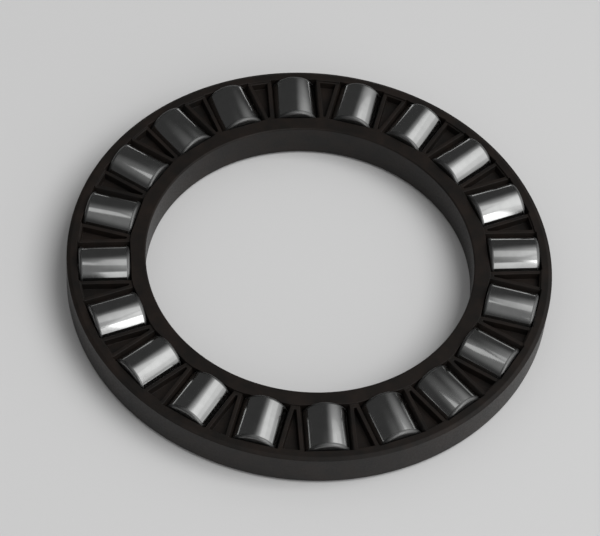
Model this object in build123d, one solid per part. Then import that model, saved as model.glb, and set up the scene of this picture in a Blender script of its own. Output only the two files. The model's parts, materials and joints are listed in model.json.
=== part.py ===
"""Thrust assembly of cylindrical rollers in a cage, single row.

A moulded polyamide cage carries a ring of short cylindrical rollers, each lying with its axis along a
radius. The rollers stand proud of the cage on both faces and run between two flat washers or ground
machine faces, so the cage takes no load: it spaces the rollers, runs on the shaft and holds the set
together when it is handled. Each pocket is a barrel round its roller, with play, and snap lips narrow it
to a mouth at both faces. When the set lies on a face, the rollers stand on that face and the cage hangs
on them by the edges of its upper mouths, a little below the rollers' axes.

Frame: millimetres, +Z along the shaft, origin on the shaft's axis at the height of the rollers' axes. The
first roller lies on +X and the others follow in equal steps, anticlockwise seen from +Z.
"""

from build123d import *
from math import cos, floor, hypot, pi, radians, sqrt, tan
import os

# Shaft and rims
shaft_diameter = 35.0
bore_clearance = 0.10           # on diameter, between the shaft and the cage's bore
inner_rim_width = 1.60          # from the bore to the pockets
outer_rim_width = 1.20          # from the pockets to the outside
cage_thickness = 4.00
bore_chamfer = 0.12
outer_edge_width = 0.40         # the outside's edges fall away over this width
outer_edge_drop = 0.15          # by this much

# Rollers
roller_diameter = 5.0
roller_length = 5.4
roller_chamfer = 0.30

# Pockets
pocket_side_clearance = 0.13    # round the barrel, on radius
pocket_end_clearance = 0.10     # at each end
lip_overhang = 0.28             # how far a lip reaches in over the pocket's side
seat_gap = 0.02                 # left between the rollers and the mouths' edges that hang on them
least_web_width = 0.75          # between neighbouring pockets at their inner ends

# Webs between the pockets: two lips with a wedge-shaped hollow between them, alike on both faces
web_step = 0.20                 # the lips' crests lie this far below the rims' faces
lip_crest_width = 0.40
hollow_depth = 0.85             # from the crests
hollow_end_wall = 0.15          # from a hollow's ends to the rims
least_hollow_width = 0.24       # a hollow starts where the lips' backs are this far apart
hollow_draft = 5.0              # degrees

# Worked out from the sizes above
bore_radius = (shaft_diameter + bore_clearance) / 2
roller_radius = roller_diameter / 2
pocket_radius = roller_radius + pocket_side_clearance
pocket_length = roller_length + 2 * pocket_end_clearance
pocket_inner_end = bore_radius + inner_rim_width
pocket_outer_end = pocket_inner_end + pocket_length
pitch_radius = (pocket_inner_end + pocket_outer_end) / 2
outside_radius = pocket_outer_end + outer_rim_width
roller_count = floor(2 * pi * pocket_inner_end / (2 * pocket_radius + least_web_width))
pitch_angle = 360 / roller_count
rim_face = cage_thickness / 2
crest_height = rim_face - web_step
crest_inner_edge = pocket_radius - pocket_side_clearance / 2
lip_back = crest_inner_edge + lip_crest_width
mouth_half_width = pocket_radius - lip_overhang
mouth_height = sqrt(pocket_radius**2 - mouth_half_width**2)
cage_drop = mouth_height - sqrt((roller_radius + seat_gap) ** 2 - mouth_half_width**2)
web_inner_end = hypot(pocket_inner_end, crest_inner_edge)


def ring_blank():
    """The cage before its pockets: two rims, and between them a band that is lower by the web step."""
    upper_half = Polyline(
        (bore_radius, 0),
        (bore_radius, rim_face - bore_chamfer),
        (bore_radius + bore_chamfer, rim_face),
        (web_inner_end, rim_face),
        (web_inner_end, crest_height),
        (pocket_outer_end, crest_height),
        (pocket_outer_end, rim_face),
        (outside_radius - outer_edge_width, rim_face),
        (outside_radius, rim_face - outer_edge_drop),
        (outside_radius, 0),
    )
    section = make_face(Curve() + [upper_half, mirror(upper_half, Plane.XZ)])
    return revolve(Plane.XZ * section, Axis.Z)


def pocket_cutter():
    """A pocket on +X: a barrel round the roller, with a mouth and a lead-in at both faces."""
    flank = ThreePointArc(
        (mouth_half_width, -mouth_height), (pocket_radius, 0), (mouth_half_width, mouth_height)
    )
    mouth = Polyline(
        (mouth_half_width, mouth_height),
        (crest_inner_edge, crest_height),
        (crest_inner_edge, cage_thickness),
        (-crest_inner_edge, cage_thickness),
        (-crest_inner_edge, crest_height),
        (-mouth_half_width, mouth_height),
    )
    outline = Curve() + [flank, mouth, mirror(flank, Plane.YZ), mirror(mouth, Plane.XZ)]
    return extrude(Plane.YZ.offset(pocket_inner_end) * make_face(outline), pocket_length)


def hollow_cutter():
    """The upper hollow of a web on +X, with its long sides parallel to the two rollers beside it."""
    half_pitch = radians(pitch_angle / 2)
    backs_meet = lip_back / cos(half_pitch)

    def half_width(distance):
        return distance * tan(half_pitch) - backs_meet

    start = max(
        web_inner_end + hollow_end_wall,
        (least_hollow_width / 2 + backs_meet) / tan(half_pitch),
    )
    end = pocket_outer_end - hollow_end_wall
    outline = make_face(
        Polyline(
            (start, -half_width(start)),
            (end, -half_width(end)),
            (end, half_width(end)),
            (start, half_width(start)),
            close=True,
        )
    )
    return extrude(Plane.XY.offset(crest_height) * outline, -hollow_depth, taper=hollow_draft)


def cage():
    """The cage with its pockets and, half a pitch round from them, the hollows in both faces."""
    pocket, hollow = pocket_cutter(), hollow_cutter()
    hollow_pair = [hollow, mirror(hollow, Plane.XY)]
    pockets, hollows = [], []
    for index in range(roller_count):
        pockets.append(Rot(0, 0, index * pitch_angle) * pocket)
        hollows += [Rot(0, 0, (index + 0.5) * pitch_angle) * cutter for cutter in hollow_pair]
    return Pos(0, 0, -cage_drop) * (ring_blank() - pockets - hollows)


def roller():
    """A roller along X at the origin, with chamfered ends."""
    barrel = Rot(0, 90, 0) * Cylinder(roller_radius, roller_length)
    return chamfer(barrel.edges().filter_by(GeomType.CIRCLE), roller_chamfer)


os.makedirs("parts", exist_ok=True)
export_step(cage(), "parts/cage.step")
one_roller = roller()
for index in range(roller_count):
    placed = Rot(0, 0, index * pitch_angle) * Pos(pitch_radius, 0, 0) * one_roller
    export_step(placed, f"parts/roller_{index + 1:02d}.step")

print("outside diameter", 2 * outside_radius, "rollers", roller_count, "pitch radius", pitch_radius)
print("mouth", 2 * mouth_half_width, "cage drop", cage_drop)
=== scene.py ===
"""Finishes of a thrust set of cylindrical rollers in a moulded cage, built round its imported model.

The moulded cage and the ground rollers are remade with fine rounded edges and their own finishes, each
inside the solid that it stands for. The file is laid out as an add-on and run as a script.
"""

import json
from math import atan2, cos, hypot, pi, radians, sin, sqrt, tan

import bmesh
import bpy
from bpy.props import FloatProperty, FloatVectorProperty, IntProperty, PointerProperty
from bpy.types import Operator, Panel, PropertyGroup
from mathutils import Matrix, Vector


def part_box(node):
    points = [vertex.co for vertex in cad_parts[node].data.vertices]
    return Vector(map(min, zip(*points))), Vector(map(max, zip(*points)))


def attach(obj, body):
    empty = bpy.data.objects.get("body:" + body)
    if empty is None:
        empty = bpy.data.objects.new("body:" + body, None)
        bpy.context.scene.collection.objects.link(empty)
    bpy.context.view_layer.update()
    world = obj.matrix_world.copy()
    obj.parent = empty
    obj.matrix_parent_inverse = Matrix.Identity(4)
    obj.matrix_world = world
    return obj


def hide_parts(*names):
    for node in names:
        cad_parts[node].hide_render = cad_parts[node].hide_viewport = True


bl_info = {
    "name": "Roller and Cage Thrust Set",
    "version": (1, 0, 0),
    "blender": (4, 5, 0),
    "location": "3D View > Sidebar > Thrust Set",
    "description": "Makes the moulded cage, the ground rollers and a pale studio round them",
    "category": "Object",
}

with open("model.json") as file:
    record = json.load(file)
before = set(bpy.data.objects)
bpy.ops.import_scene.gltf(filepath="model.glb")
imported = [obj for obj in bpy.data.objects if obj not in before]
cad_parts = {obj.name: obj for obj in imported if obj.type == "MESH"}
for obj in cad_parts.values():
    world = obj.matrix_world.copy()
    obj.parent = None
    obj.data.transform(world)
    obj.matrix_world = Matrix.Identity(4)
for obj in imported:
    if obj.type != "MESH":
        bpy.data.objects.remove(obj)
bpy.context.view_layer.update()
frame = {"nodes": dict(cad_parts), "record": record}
MM = 1000  # meshes are made in millimetres, and brought to metres when they are done
CAGE_LOW, CAGE_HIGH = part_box("cage")
ROLLER_LOW, ROLLER_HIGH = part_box("roller_01")  # this roller lies along +X
ROLLER_NODES = sorted(node for node in frame["nodes"] if node.startswith("roller_"))
MOUNTS = {mount["name"]: mount for mount in frame["record"]["mounts"]}


def length_property(name, description, default):
    """A size in metres, shown to a hundredth of a millimetre."""
    return FloatProperty(
        name=name, description=description, default=default, min=0, precision=5,
        subtype="DISTANCE", unit="LENGTH",
    )


def colour_property(name, description, default):
    """A linear colour."""
    return FloatVectorProperty(
        name=name, description=description, default=default, size=3, min=0, max=1, subtype="COLOR"
    )


class CageSettings(PropertyGroup):
    """Sizes and finish of the moulded cage."""

    bore_radius: length_property("Bore radius", "Radius of the bore", MOUNTS["shaft_bore"]["dims"]["r_mm"] / MM)
    bore_chamfer: length_property("Bore chamfer", "Chamfer at both ends of the bore", 0.00012)
    outer_edge_width: length_property("Outer edge width", "Width over which the outside's edges fall away", 0.0004)
    outer_edge_drop: length_property("Outer edge drop", "How far the outside's edges fall away", 0.00015)
    side_play: length_property("Side play", "Play round each roller's barrel, on radius", 0.00013)
    end_play: length_property("End play", "Play at each end of a roller", 0.0001)
    lip_overhang: length_property("Lip overhang", "How far a lip reaches in over its pocket", 0.00028)
    lip_width: length_property("Lip width", "Width of a lip's crest", 0.0004)
    web_step: length_property("Web step", "How far the lips' crests lie below the rims", 0.0002)
    hollow_depth: length_property("Hollow depth", "Depth of the hollow between two lips", 0.00085)
    hollow_end_wall: length_property("Hollow end wall", "From a hollow's ends to the rims", 0.00015)
    least_hollow_width: length_property("Least hollow width", "Width at a hollow's narrow end", 0.00024)
    hollow_draft: FloatProperty(
        name="Hollow draft", description="Draft of the hollows' walls",
        default=radians(5), min=0, max=radians(20), subtype="ANGLE",
    )
    edge_radius: length_property("Edge radius", "Rounding of every moulded edge", 0.00006)
    rim_facets: IntProperty(name="Rim facets", description="Facets of a rim per half pocket", default=8, min=2)
    barrel_facets: IntProperty(name="Barrel facets", description="Facets from a lip to mid-height", default=6, min=2)
    colour: colour_property("Colour", "Black of the moulding", (0.0085, 0.0074, 0.0066))
    bloom: colour_property("Bloom", "Brownish bloom on the moulding's skin", (0.0150, 0.0110, 0.0090))
    roughness: FloatProperty(name="Roughness", description="Roughness of the skin", default=0.42, min=0, max=1)
    gloss: FloatProperty(name="Gloss", description="Specular level of the skin", default=0.3, min=0, max=1)


class RollerSettings(PropertyGroup):
    """Sizes and finish of the ground rollers."""

    corner_radius: length_property("Corner radius", "Rounding between barrel and ends", 0.0003)
    facets: IntProperty(name="Facets", description="Facets round a roller", default=96, min=12)
    corner_rings: IntProperty(name="Corner rings", description="Rings across a corner", default=6, min=1)
    colour: colour_property("Colour", "Colour of the ground steel", (0.62, 0.625, 0.62))
    roughness: FloatProperty(name="Roughness", description="Roughness of the barrel", default=0.12, min=0, max=1)
    # The end bands' darker tone is painted shade for the dark reflection at the rollers' ends. Their added roughness is
    # real.
    end_band: length_property("End band", "Width of the darker band at either end", 0.00036)
    painted_end_tone: FloatProperty(name="Painted end tone", description="Tone of the ends next to the barrel", default=0.4, min=0)
    end_roughness: FloatProperty(name="End roughness", description="Added at the ends", default=0.3, min=0, max=1)


class StudioSettings(PropertyGroup):
    """Floor, lamps and camera."""

    azimuth: FloatProperty(
        name="Azimuth", description="Turn of the camera round the set", default=radians(9), subtype="ANGLE"
    )
    elevation: FloatProperty(
        name="Elevation", description="Height of the camera above the floor", default=radians(52.96), subtype="ANGLE"
    )
    roll: FloatProperty(name="Roll", description="Tilt of the camera", default=radians(5.89), subtype="ANGLE")
    distance: length_property("Distance", "From the camera to the cage's centre", 0.2830)
    lens: FloatProperty(name="Lens", description="Focal length", default=158.2, min=1, subtype="DISTANCE_CAMERA")
    floor_colour: colour_property("Floor colour", "Pale grey of the floor", (0.62, 0.62, 0.62))
    fill: FloatProperty(name="Fill", description="Soft light from all round", default=0.30, min=0)
    key: FloatProperty(name="Key", description="Radiance of the broad lamp that shapes the shadows", default=4.3, min=0)
    dim: FloatProperty(name="Dim", description="Darkest part of the room in what shines", default=0.045, min=0)


# ---------------------------------------------------------------------------------------------------
# Node trees


def add_node(tree, kind, inputs=None, **settings):
    """Adds a node, sets its settings and its inputs. An input is a value or an output to link."""
    node = tree.nodes.new(kind)
    for name, value in settings.items():
        setattr(node, name, value)
    for name, value in (inputs or {}).items():
        socket = node.inputs[name]
        if isinstance(value, bpy.types.NodeSocket):
            tree.links.new(value, socket)
        else:
            socket.default_value = value
    return node


def math_node(tree, operation, *values):
    """The output of a Math node on numbers or outputs."""
    kind = "ShaderNodeMath"
    return add_node(tree, kind, dict(enumerate(values)), operation=operation).outputs[0]


def new_geometry_tree(name, sockets):
    """A geometry tree with named inputs. Returns it with its input and output nodes."""
    tree = bpy.data.node_groups.new(name, "GeometryNodeTree")
    tree.interface.new_socket("Geometry", in_out="INPUT", socket_type="NodeSocketGeometry")
    for socket_name, kind in sockets:
        tree.interface.new_socket(socket_name, in_out="INPUT", socket_type=kind)
    tree.interface.new_socket("Geometry", in_out="OUTPUT", socket_type="NodeSocketGeometry")
    return tree, tree.nodes.new("NodeGroupInput"), tree.nodes.new("NodeGroupOutput")


def add_tree_modifier(piece, tree, values):
    """Puts a geometry tree on a piece, with its inputs set by their identifiers."""
    identifiers = {
        item.name: item.identifier for item in tree.interface.items_tree if item.in_out == "INPUT"
    }
    modifier = piece.modifiers.new(tree.name, "NODES")
    modifier.node_group = tree
    for name, value in values.items():
        modifier[identifiers[name]] = value
    return modifier


def check_closed(data, name):
    """Raises an error where a mesh isn't closed, with its faces outwards."""
    mesh = bmesh.new()
    mesh.from_mesh(data)
    open_edges = sum(1 for edge in mesh.edges if not edge.is_manifold)
    volume = mesh.calc_volume(signed=True)
    mesh.free()
    if open_edges or volume <= 0:
        raise RuntimeError(f"{name} has {open_edges} open edges and volume {volume}")


def bake_piece(maker, name):
    """A plain object with the maker's evaluated mesh, brought to metres. The maker is removed."""
    bpy.context.view_layer.update()
    evaluated = maker.evaluated_get(bpy.context.evaluated_depsgraph_get())
    mesh = bpy.data.meshes.new_from_object(evaluated)
    check_closed(mesh, name)
    mesh.transform(Matrix.Scale(1 / MM, 4))
    mesh.name = name
    bpy.data.objects.remove(maker)
    piece = bpy.data.objects.new(name, mesh)
    bpy.context.scene.collection.objects.link(piece)
    return piece


# ---------------------------------------------------------------------------------------------------
# Finishes


def cage_material(settings):
    """Glass-filled polyamide: near black, with a brownish bloom, fine grain and glints of fibre."""
    material = bpy.data.materials.new("moulded_polyamide")
    material.use_nodes = True
    tree = material.node_tree
    shader = tree.nodes["Principled BSDF"]
    place = add_node(tree, "ShaderNodeTexCoord").outputs["Object"]
    bloom = add_node(
        tree, "ShaderNodeTexNoise", {"Vector": place, "Scale": 420, "Detail": 5, "Roughness": 0.6}
    ).outputs["Fac"]
    grain = add_node(
        tree, "ShaderNodeTexNoise", {"Vector": place, "Scale": 5200, "Detail": 3, "Roughness": 0.55}
    ).outputs["Fac"]
    ramp = add_node(
        tree, "ShaderNodeMapRange", {"Value": bloom, "From Min": 0.38, "From Max": 0.66}
    ).outputs["Result"]
    skin = add_node(tree, "ShaderNodeMix", {"Factor": ramp}, data_type="RGBA")
    # The Mix node's colour sockets share their names with its other kinds, so they are set by place.
    skin.inputs[6].default_value = (*settings.colour, 1)
    skin.inputs[7].default_value = (*settings.bloom, 1)
    tree.links.new(skin.outputs[2], shader.inputs["Base Color"])
    rough = add_node(
        tree, "ShaderNodeMapRange",
        {"Value": grain, "From Min": 0.3, "From Max": 0.7, "To Min": settings.roughness - 0.08,
         "To Max": settings.roughness + 0.10},
    ).outputs["Result"]
    tree.links.new(rough, shader.inputs["Roughness"])
    bump = add_node(
        tree, "ShaderNodeBump", {"Height": grain, "Strength": 0.25, "Distance": 0.00001}
    ).outputs["Normal"]
    tree.links.new(bump, shader.inputs["Normal"])
    shader.inputs["IOR"].default_value = 1.45
    shader.inputs["Specular IOR Level"].default_value = settings.gloss
    return material


def steel_material(settings):
    """Ground steel: fine lines round the barrel, a slight change of tone and a clean reflection."""
    material = bpy.data.materials.new("ground_steel")
    material.use_nodes = True
    tree = material.node_tree
    shader = tree.nodes["Principled BSDF"]
    place = add_node(tree, "ShaderNodeAttribute", attribute_name="roller_place").outputs["Vector"]
    along = add_node(tree, "ShaderNodeSeparateXYZ", {"Vector": place}).outputs["X"]
    lines = add_node(
        tree, "ShaderNodeTexNoise", {"W": along, "Scale": 14, "Detail": 4, "Roughness": 0.7},
        noise_dimensions="1D",
    ).outputs["Fac"]
    tone = add_node(
        tree, "ShaderNodeTexNoise", {"Vector": place, "Scale": 0.9, "Detail": 3, "Roughness": 0.5}
    ).outputs["Fac"]
    shade = add_node(
        tree, "ShaderNodeMapRange",
        {"Value": tone, "From Min": 0.3, "From Max": 0.7, "To Min": 0.94, "To Max": 1.04},
    ).outputs["Result"]
    # The ends and the corners are turned, not ground, so they are rougher than the barrel. Their darker tone is painted
    # shade for the dark reflection at the ends.
    middle, half = (ROLLER_LOW.x + ROLLER_HIGH.x) / 2, (ROLLER_HIGH.x - ROLLER_LOW.x) / 2
    from_middle = math_node(tree, "ABSOLUTE", math_node(tree, "SUBTRACT", along, middle * MM))
    ground = (half - settings.end_band) * MM
    end_zone = add_node(
        tree, "ShaderNodeMapRange", {"Value": from_middle, "From Min": ground - 0.03, "From Max": ground + 0.03}
    ).outputs["Result"]
    painted_end_shade = math_node(tree, "SUBTRACT", 1, math_node(tree, "MULTIPLY", end_zone, 1 - settings.painted_end_tone))
    colour = add_node(
        tree, "ShaderNodeVectorMath",
        {0: tuple(settings.colour), "Scale": math_node(tree, "MULTIPLY", shade, painted_end_shade)}, operation="SCALE",
    ).outputs["Vector"]
    tree.links.new(colour, shader.inputs["Base Color"])
    rough = add_node(
        tree, "ShaderNodeMapRange",
        {"Value": lines, "From Min": 0.25, "From Max": 0.75, "To Min": settings.roughness - 0.03,
         "To Max": settings.roughness + 0.05},
    ).outputs["Result"]
    rough = math_node(tree, "ADD", rough, math_node(tree, "MULTIPLY", end_zone, settings.end_roughness))
    tree.links.new(rough, shader.inputs["Roughness"])
    bump = add_node(
        tree, "ShaderNodeBump", {"Height": lines, "Strength": 0.08, "Distance": 0.000002}
    ).outputs["Normal"]
    tree.links.new(bump, shader.inputs["Normal"])
    shader.inputs["Metallic"].default_value = 1.0
    return material


# ---------------------------------------------------------------------------------------------------
# The cage


class CageShape:
    """The cage's sizes in millimetres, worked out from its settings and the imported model."""

    def __init__(self, settings):
        self.settings = settings
        self.bore = settings.bore_radius * MM
        self.outside = CAGE_HIGH.x * MM
        self.drop = -(CAGE_LOW.z + CAGE_HIGH.z) / 2 * MM
        self.rim_face = (CAGE_HIGH.z - CAGE_LOW.z) / 2 * MM
        self.half_pitch = pi / len(ROLLER_NODES)
        self.pocket_radius = ROLLER_HIGH.z * MM + settings.side_play * MM
        self.pocket_start = (ROLLER_LOW.x - settings.end_play) * MM
        self.pocket_end = (ROLLER_HIGH.x + settings.end_play) * MM
        self.crest_edge = self.pocket_radius - settings.side_play * MM / 2
        self.crest_height = self.rim_face - settings.web_step * MM
        self.mouth = self.pocket_radius - settings.lip_overhang * MM
        self.mouth_height = sqrt(self.pocket_radius**2 - self.mouth**2)
        self.web_start = hypot(self.pocket_start, self.crest_edge)
        self.notch = sqrt(self.pocket_end**2 - self.crest_edge**2)
        self.backs_meet = (self.crest_edge + settings.lip_width * MM) / cos(self.half_pitch)

    def half_width(self, distance, inset=0.0):
        """Half the hollow's width at a distance along the web's middle line."""
        return distance * tan(self.half_pitch) - self.backs_meet - inset / cos(self.half_pitch)

    def hollow(self):
        """The hollow's half outline on the near side of the web's middle line: crest points, floor points."""
        settings = self.settings
        wall = settings.hollow_end_wall * MM
        narrow = (settings.least_hollow_width * MM / 2 + self.backs_meet) / tan(self.half_pitch)
        start, end = max(self.web_start + wall, narrow), self.pocket_end - wall
        depth = settings.hollow_depth * MM
        inset = depth * tan(settings.hollow_draft)
        turn = Matrix.Rotation(self.half_pitch, 3, "Z")

        def outline(first, last, inset, height):
            flat = [
                (last, 0), (last, -self.half_width(last, inset)),
                (first, -self.half_width(first, inset)), (first, 0),
            ]
            return [turn @ Vector((x, y, height)) for x, y in flat]

        return (
            outline(start, end, 0, self.crest_height),
            outline(start + inset, end - inset, inset, self.crest_height - depth),
        )


def arc(radius, start, stop, count, height):
    """Points on a circle round the shaft's axis."""
    angles = [start + (stop - start) * step / count for step in range(count + 1)]
    return [Vector((radius * cos(angle), radius * sin(angle), height)) for angle in angles]


def strips(lower, upper, outward):
    """Faces between two rows of points. Outward turns a face's middle into its outward direction."""
    faces = []
    for index in range(len(lower) - 1):
        corners = [lower[index], lower[index + 1], upper[index + 1], upper[index]]
        faces.append((corners, outward(sum(corners, Vector()) / 4)))
    return faces


def outwards(point):
    return Vector((point.x, point.y, 0))


def inwards(point):
    return Vector((-point.x, -point.y, 0))


def rim_faces(shape):
    """Both rims over half a pocket, above mid-height."""
    settings, top, turn = shape.settings, shape.rim_face, shape.half_pitch
    count = settings.rim_facets
    up = Vector((0, 0, 1))
    chamfer = settings.bore_chamfer * MM
    edge, drop = settings.outer_edge_width * MM, settings.outer_edge_drop * MM
    web_turn = atan2(shape.crest_edge, shape.pocket_start)
    notch_turn = atan2(shape.crest_edge, shape.notch)
    few = max(2, count // 3)

    bore = [arc(shape.bore, 0, turn, count, height) for height in (0, top - chamfer)]
    bore_top = arc(shape.bore + chamfer, 0, turn, count, top)
    outer_top = arc(shape.outside - edge, 0, turn, count, top)
    outer = [arc(shape.outside, 0, turn, count, height) for height in (top - drop, 0)]
    step = [arc(shape.web_start, turn, web_turn, few, height) for height in (top, shape.crest_height)]
    ledge = [arc(shape.pocket_end, notch_turn, turn, few, height) for height in (top, shape.crest_height)]

    faces = strips(bore[0], bore[1], inwards)
    faces += strips(bore[1], bore_top, lambda point: inwards(point).normalized() + up)
    faces += strips(outer_top, outer[0], lambda point: outwards(point).normalized() * drop + up * edge)
    faces += strips(outer[0], outer[1], outwards)
    faces += strips(step[0], step[1], outwards)
    faces += strips(ledge[0], ledge[1], inwards)
    faces.append((bore_top + step[0] + [Vector((shape.pocket_start, 0, top))], up))
    pocket_corners = [Vector((shape.pocket_end, 0, top)), Vector((shape.pocket_end, shape.crest_edge, top))]
    faces.append((pocket_corners + ledge[0] + outer_top[::-1], up))
    return faces, step[1], ledge[1]


def pocket_faces(shape):
    """A quarter of a pocket: its end walls, the barrel's wall and the lead-in over it."""
    start, end = shape.pocket_start, shape.pocket_end
    count = shape.settings.barrel_facets
    mouth_turn = atan2(shape.mouth_height, shape.mouth)
    angles = [mouth_turn * (1 - step / count) for step in range(count + 1)]
    barrel = [(shape.pocket_radius * cos(angle), shape.pocket_radius * sin(angle)) for angle in angles]
    section = [
        (0, 0), (0, shape.rim_face), (shape.crest_edge, shape.rim_face),
        (shape.crest_edge, shape.crest_height), *barrel,
    ]
    faces = [
        ([Vector((start, y, z)) for y, z in section], Vector((1, 0, 0))),
        ([Vector((end, y, z)) for y, z in section], Vector((-1, 0, 0))),
    ]
    rows = [[Vector((x, y, z)) for y, z in barrel] for x in (start, end)]
    faces += strips(rows[0], rows[1], lambda point: Vector((0, -point.y, -point.z)))
    side, low, high = shape.crest_edge, shape.crest_height, shape.rim_face
    lead_in = [(start, side, low), (shape.notch, side, low), (end, side, low)]
    lead_in += [(end, shape.mouth, shape.mouth_height), (start, shape.mouth, shape.mouth_height)]
    faces.append(([Vector(point) for point in lead_in], Vector((0, -1, 0.4))))
    notch = [(shape.notch, side, low), (end, side, low), (end, side, high), (shape.notch, side, high)]
    faces.append(([Vector(point) for point in notch], Vector((0, -1, 0))))
    return faces


def web_faces(shape, step, ledge):
    """Half a web's top: the lip's crest and the wedge-shaped hollow behind it."""
    crest, floor = shape.hollow()
    up = Vector((0, 0, 1))
    faces = [(ledge + crest + step, up), (floor, up)]
    middle = sum(floor, Vector()) / 4
    faces += strips(crest, floor, lambda point: middle - point)
    return faces


def pocket_sector(shape):
    """Mesh of the cage round one pocket, open where it meets its neighbours, with its middle on +X."""
    faces, step, ledge = rim_faces(shape)
    faces += pocket_faces(shape)
    faces += web_faces(shape, step, ledge)
    mesh = bmesh.new()
    for side in (1, -1):
        for face in (1, -1):
            mirror = Vector((1, side, face))
            for corners, outward in faces:
                made = mesh.faces.new([mesh.verts.new(corner * mirror) for corner in corners])
                made.smooth = True
                made.normal_update()
                if made.normal.dot(outward * mirror) < 0:
                    made.normal_flip()
    bmesh.ops.remove_doubles(mesh, verts=mesh.verts, dist=1e-4)
    bmesh.ops.translate(mesh, verts=mesh.verts, vec=(0, 0, -shape.drop))
    data = bpy.data.meshes.new("pocket_sector")
    mesh.to_mesh(data)
    mesh.free()
    return data


def ring_tree():
    """Repeats a sector round the shaft's axis and joins the copies."""
    tree, start, end = new_geometry_tree(
        "Ring of sectors",
        [("Count", "NodeSocketInt"), ("Join Distance", "NodeSocketFloat"), ("Material", "NodeSocketMaterial")],
    )
    row = add_node(
        tree, "GeometryNodeMeshLine", {"Count": start.outputs["Count"], "Offset": (0, 0, 0)}
    ).outputs["Mesh"]
    index = add_node(tree, "GeometryNodeInputIndex").outputs[0]
    share = math_node(tree, "DIVIDE", index, start.outputs["Count"])
    turn = math_node(tree, "MULTIPLY", share, 2 * pi)
    angles = add_node(tree, "ShaderNodeCombineXYZ", {"Z": turn}).outputs[0]
    rotation = add_node(tree, "FunctionNodeEulerToRotation", {0: angles}).outputs[0]
    copies = add_node(
        tree, "GeometryNodeInstanceOnPoints",
        {"Points": row, "Instance": start.outputs["Geometry"], "Rotation": rotation},
    ).outputs["Instances"]
    real = add_node(tree, "GeometryNodeRealizeInstances", {"Geometry": copies}).outputs[0]
    joined = add_node(
        tree, "GeometryNodeMergeByDistance", {"Geometry": real, "Distance": start.outputs["Join Distance"]}
    ).outputs[0]
    dressed = add_node(
        tree, "GeometryNodeSetMaterial", {"Geometry": joined, "Material": start.outputs["Material"]}
    ).outputs[0]
    tree.links.new(dressed, end.inputs["Geometry"])
    return tree


class THRUSTSET_OT_cage(Operator):
    """Makes the moulded cage with its pockets, snap lips and wedge-shaped hollows"""

    bl_idname = "thrust_set.cage"
    bl_label = "Make the Cage"

    def execute(self, context):
        settings = context.scene.thrust_cage
        shape = CageShape(settings)
        maker = bpy.data.objects.new("cage_maker", pocket_sector(shape))
        context.scene.collection.objects.link(maker)
        values = {"Count": len(ROLLER_NODES), "Join Distance": 0.001, "Material": cage_material(settings)}
        add_tree_modifier(maker, ring_tree(), values)
        bevel = maker.modifiers.new("Rounded edges", "BEVEL")
        bevel.width = settings.edge_radius * MM
        bevel.segments = 2
        bevel.limit_method = "ANGLE"
        bevel.angle_limit = radians(18)
        bevel.use_clamp_overlap = False
        bevel.harden_normals = True
        cage = bake_piece(maker, "moulded_cage")
        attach(cage, "cage")
        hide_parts("cage")
        return {"FINISHED"}


# ---------------------------------------------------------------------------------------------------
# The rollers


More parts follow.
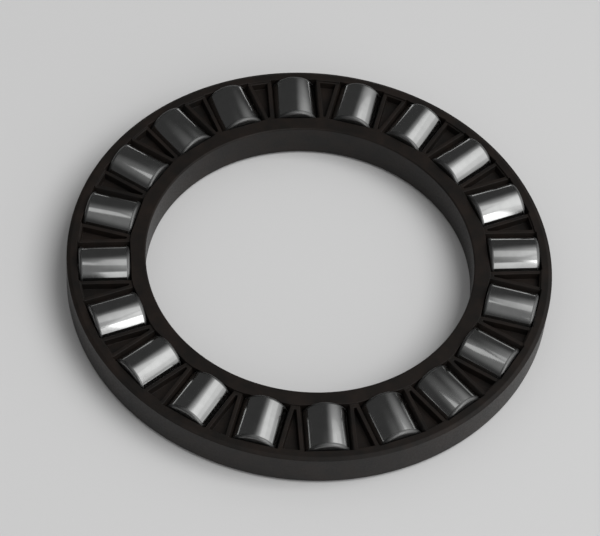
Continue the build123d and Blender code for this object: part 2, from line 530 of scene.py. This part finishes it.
def roller_tree():
    """A barrel with rounded corners, turned on its axis along +X and then set round the shaft."""
    tree, start, end = new_geometry_tree(
        "Ground roller",
        [
            ("Inner End", "NodeSocketFloat"), ("Length", "NodeSocketFloat"), ("Radius", "NodeSocketFloat"),
            ("Corner Radius", "NodeSocketFloat"), ("Corner Rings", "NodeSocketInt"),
            ("Facets", "NodeSocketInt"), ("Turn", "NodeSocketFloat"), ("Material", "NodeSocketMaterial"),
        ],
    )
    given = start.outputs
    index = add_node(tree, "GeometryNodeInputIndex").outputs[0]
    rings = math_node(tree, "ADD", given["Corner Rings"], 1)
    count = math_node(tree, "MULTIPLY", rings, 2)
    last = math_node(tree, "SUBTRACT", count, 1)
    from_end = math_node(tree, "SUBTRACT", last, index)
    step = math_node(tree, "MINIMUM", index, from_end)
    angle = math_node(tree, "MULTIPLY", math_node(tree, "DIVIDE", step, given["Corner Rings"]), pi / 2)
    cosine = math_node(tree, "COSINE", angle)
    along = math_node(tree, "MULTIPLY", given["Corner Radius"], math_node(tree, "SUBTRACT", 1, cosine))
    far = math_node(tree, "SUBTRACT", given["Length"], along)
    beyond = math_node(tree, "GREATER_THAN", index, from_end)
    near_part = math_node(tree, "MULTIPLY", along, math_node(tree, "SUBTRACT", 1, beyond))
    place = math_node(tree, "ADD", near_part, math_node(tree, "MULTIPLY", far, beyond))
    rise = math_node(tree, "MULTIPLY", given["Corner Radius"], math_node(tree, "SINE", angle))
    girth = math_node(tree, "ADD", math_node(tree, "SUBTRACT", given["Radius"], given["Corner Radius"]), rise)

    line = add_node(tree, "GeometryNodeMeshLine", {"Count": count, "Offset": (1, 0, 0)}).outputs["Mesh"]
    spot = add_node(
        tree, "ShaderNodeCombineXYZ", {"X": math_node(tree, "ADD", place, given["Inner End"])}
    ).outputs[0]
    path = add_node(tree, "GeometryNodeMeshToCurve", {"Mesh": line}).outputs[0]
    path = add_node(tree, "GeometryNodeSetPosition", {"Geometry": path, "Position": spot}).outputs[0]
    circle = add_node(
        tree, "GeometryNodeCurvePrimitiveCircle", {"Resolution": given["Facets"], "Radius": 1.0}
    ).outputs[0]
    barrel = add_node(
        tree, "GeometryNodeCurveToMesh",
        {"Curve": path, "Profile Curve": circle, "Scale": girth, "Fill Caps": True},
    ).outputs[0]
    where = add_node(tree, "GeometryNodeInputPosition").outputs[0]
    barrel = add_node(
        tree, "GeometryNodeStoreNamedAttribute", {"Geometry": barrel, "Name": "roller_place", "Value": where},
        data_type="FLOAT_VECTOR", domain="POINT",
    ).outputs[0]
    normal = add_node(tree, "GeometryNodeInputNormal").outputs[0]
    lean = add_node(tree, "ShaderNodeSeparateXYZ", {"Vector": normal}).outputs["X"]
    end_face = math_node(tree, "GREATER_THAN", math_node(tree, "ABSOLUTE", lean), 0.9999)
    curved = math_node(tree, "SUBTRACT", 1, end_face)
    barrel = add_node(
        tree, "GeometryNodeSetShadeSmooth", {"Geometry": barrel, "Shade Smooth": curved}, domain="FACE"
    ).outputs[0]
    turned = add_node(tree, "ShaderNodeCombineXYZ", {"Z": given["Turn"]}).outputs[0]
    turned = add_node(tree, "FunctionNodeEulerToRotation", {0: turned}).outputs[0]
    barrel = add_node(tree, "GeometryNodeTransform", {"Geometry": barrel, "Rotation": turned}).outputs[0]
    real = add_node(tree, "GeometryNodeRealizeInstances", {"Geometry": barrel}).outputs[0]
    dressed = add_node(
        tree, "GeometryNodeSetMaterial", {"Geometry": real, "Material": given["Material"]}
    ).outputs[0]
    tree.links.new(dressed, end.inputs["Geometry"])
    return tree


class THRUSTSET_OT_rollers(Operator):
    """Makes the ground rollers, one for each pocket"""

    bl_idname = "thrust_set.rollers"
    bl_label = "Make the Rollers"

    def execute(self, context):
        settings = context.scene.thrust_rollers
        tree, material = roller_tree(), steel_material(settings)
        for node in ROLLER_NODES:
            low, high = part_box(node)
            middle = (low + high) / 2
            maker = bpy.data.objects.new("roller_maker", bpy.data.meshes.new("roller_maker"))
            context.scene.collection.objects.link(maker)
            add_tree_modifier(
                maker, tree,
                {
                    "Inner End": ROLLER_LOW.x * MM, "Length": (ROLLER_HIGH.x - ROLLER_LOW.x) * MM,
                    "Radius": ROLLER_HIGH.z * MM, "Corner Radius": settings.corner_radius * MM,
                    "Corner Rings": settings.corner_rings, "Facets": settings.facets,
                    "Turn": atan2(middle.y, middle.x), "Material": material,
                },
            )
            piece = bake_piece(maker, node.replace("roller", "ground_roller"))
            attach(piece, node)
            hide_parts(node)
        return {"FINISHED"}


# ---------------------------------------------------------------------------------------------------
# The studio


def towards(azimuth, elevation):
    """A direction by its azimuth, clockwise from straight away from the camera, and its elevation."""
    flat = cos(radians(elevation))
    return Vector((flat * sin(radians(azimuth)), flat * cos(radians(azimuth)), sin(radians(elevation))))


def panel_lamp(name, turn, azimuth, elevation, span, radiance, distance=0.5):
    """A rectangular lamp that faces the set. Span is the width and height that it takes, in degrees."""
    width, height = [2 * distance * tan(radians(angle / 2)) for angle in span]
    light = bpy.data.lights.new(name, "AREA")
    light.shape = "RECTANGLE"
    light.size, light.size_y = width, height
    light.energy = radiance * pi * width * height
    lamp = bpy.data.objects.new(name, light)
    bpy.context.scene.collection.objects.link(lamp)
    direction = turn @ towards(azimuth, elevation)
    lamp.location = direction * distance
    lamp.rotation_euler = direction.to_track_quat("Z", "Y").to_euler()
    lamp.visible_camera = False
    return lamp


def make_floor(settings):
    """A wide pale floor that the rollers stand on."""
    reach = 4.0
    mesh = bmesh.new()
    height = ROLLER_LOW.z
    corners = [(-reach, -reach), (reach, -reach), (reach, reach), (-reach, reach)]
    mesh.faces.new([mesh.verts.new((x, y, height)) for x, y in corners])
    data = bpy.data.meshes.new("studio_floor")
    mesh.to_mesh(data)
    mesh.free()
    material = bpy.data.materials.new("studio_floor")
    material.use_nodes = True
    shader = material.node_tree.nodes["Principled BSDF"]
    shader.inputs["Base Color"].default_value = (*settings.floor_colour, 1)
    shader.inputs["Roughness"].default_value = 0.9
    shader.inputs["Specular IOR Level"].default_value = 0.0
    data.materials.append(material)
    floor = bpy.data.objects.new("studio_floor", data)
    bpy.context.scene.collection.objects.link(floor)


def soft_glow(tree, place, turn, azimuth, elevation, span, radiance):
    """A round glow in the sky, even up to the first half-angle of span and gone at the second."""
    centre = turn @ towards(azimuth, elevation)
    facing = add_node(
        tree, "ShaderNodeVectorMath", {0: place, 1: tuple(centre)}, operation="DOT_PRODUCT"
    ).outputs["Value"]
    even, gone = [cos(radians(angle)) for angle in span]
    return add_node(
        tree, "ShaderNodeMapRange",
        {"Value": facing, "From Min": gone, "From Max": even, "To Min": 0.0, "To Max": radiance},
        interpolation_type="SMOOTHSTEP",
    ).outputs["Result"]


def make_world(settings, turn):
    """Soft light from all round, a pale background, and a dim studio with soft glows in what shines."""
    world = bpy.data.worlds.new("studio")
    bpy.context.scene.world = world
    world.use_nodes = True
    tree = world.node_tree
    background = tree.nodes["Background"]
    path = add_node(tree, "ShaderNodeLightPath").outputs
    fill = math_node(tree, "MULTIPLY", path["Is Diffuse Ray"], settings.fill)
    pale = math_node(tree, "MULTIPLY", path["Is Camera Ray"], settings.floor_colour[0])
    place = add_node(tree, "ShaderNodeTexCoord").outputs["Generated"]
    side = soft_glow(tree, place, turn, 83, 40, (5, 58), 0.55)
    crown = soft_glow(tree, place, turn, 170, 69, (22, 54), 0.15)
    sky = math_node(tree, "ADD", math_node(tree, "ADD", side, crown), settings.dim)
    shine = math_node(tree, "MULTIPLY", path["Is Glossy Ray"], sky)
    total = math_node(tree, "ADD", math_node(tree, "ADD", fill, pale), shine)
    background.inputs["Color"].default_value = (1, 1, 1, 1)
    tree.links.new(total, background.inputs["Strength"])


def make_camera(settings):
    """A long lens that looks down on the set."""
    turn = Matrix.Rotation(settings.azimuth, 3, "Z")
    right = turn @ Vector((1, 0, 0))
    back = turn @ Vector((0, -cos(settings.elevation), sin(settings.elevation)))
    up = back.cross(right)
    centre = Vector((0, 0, (CAGE_LOW.z + CAGE_HIGH.z) / 2))
    tilt = Matrix.Rotation(settings.roll, 3, back)
    camera = bpy.data.cameras.new("camera")
    camera.sensor_width = 36
    camera.lens = settings.lens
    camera.clip_start, camera.clip_end = 0.01, 20
    holder = bpy.data.objects.new("camera", camera)
    bpy.context.scene.collection.objects.link(holder)
    place = centre + back * settings.distance - right * 0.00097 - up * 0.00025
    axes = Matrix([tilt @ right, tilt @ up, back]).transposed()
    holder.matrix_world = Matrix.Translation(place) @ axes.to_4x4()
    bpy.context.scene.camera = holder


class THRUSTSET_OT_studio(Operator):
    """Makes the floor, the lamps, the world and the camera"""

    bl_idname = "thrust_set.studio"
    bl_label = "Make the Studio"

    def execute(self, context):
        settings = context.scene.thrust_studio
        turn = Matrix.Rotation(settings.azimuth, 3, "Z")
        make_floor(settings)
        make_world(settings, turn)
        key = panel_lamp("key_panel", turn, 97, 58, (40, 40), settings.key, 1.5)
        key.visible_glossy = False
        panel_lamp("side_panel", turn, 89, 46, (76, 44), 0.23)
        panel_lamp("strip_panel", turn, 77, 57, (50, 25), 0.13)
        panel_lamp("bright_panel", turn, 135, 26, (18, 44), 1.5)
        panel_lamp("near_panel", turn, 158, 27, (27, 31), 0.66)
        panel_lamp("left_panel", turn, 247, 72, (15, 23), 0.4)
        panel_lamp("overhead_panel", turn, 94, 82, (30, 24), 0.23)
        make_camera(settings)
        context.scene.view_settings.view_transform = "Standard"
        return {"FINISHED"}


class THRUSTSET_PT_panel(Panel):
    """Lists what the add-on makes, with its settings."""

    bl_idname = "THRUSTSET_PT_panel"
    bl_label = "Roller and Cage Thrust Set"
    bl_space_type = "VIEW_3D"
    bl_region_type = "UI"
    bl_category = "Thrust Set"

    def draw(self, context):
        for group, operator in GROUPS.items():
            settings = getattr(context.scene, group)
            box = self.layout.box()
            for name in settings.__annotations__:
                box.prop(settings, name)
            box.operator(operator.bl_idname)


SETTINGS = {
    "thrust_cage": CageSettings,
    "thrust_rollers": RollerSettings,
    "thrust_studio": StudioSettings,
}
GROUPS = {
    "thrust_cage": THRUSTSET_OT_cage,
    "thrust_rollers": THRUSTSET_OT_rollers,
    "thrust_studio": THRUSTSET_OT_studio,
}


def register():
    for kind in (*SETTINGS.values(), *GROUPS.values(), THRUSTSET_PT_panel):
        bpy.utils.register_class(kind)
    for group, kind in SETTINGS.items():
        setattr(bpy.types.Scene, group, PointerProperty(type=kind))


def unregister():
    for group in SETTINGS:
        delattr(bpy.types.Scene, group)
    for kind in (THRUSTSET_PT_panel, *GROUPS.values(), *SETTINGS.values()):
        bpy.utils.unregister_class(kind)


def main():
    register()
    bpy.ops.thrust_set.cage()
    bpy.ops.thrust_set.rollers()
    bpy.ops.thrust_set.studio()


if __name__ == "__main__":
    main()
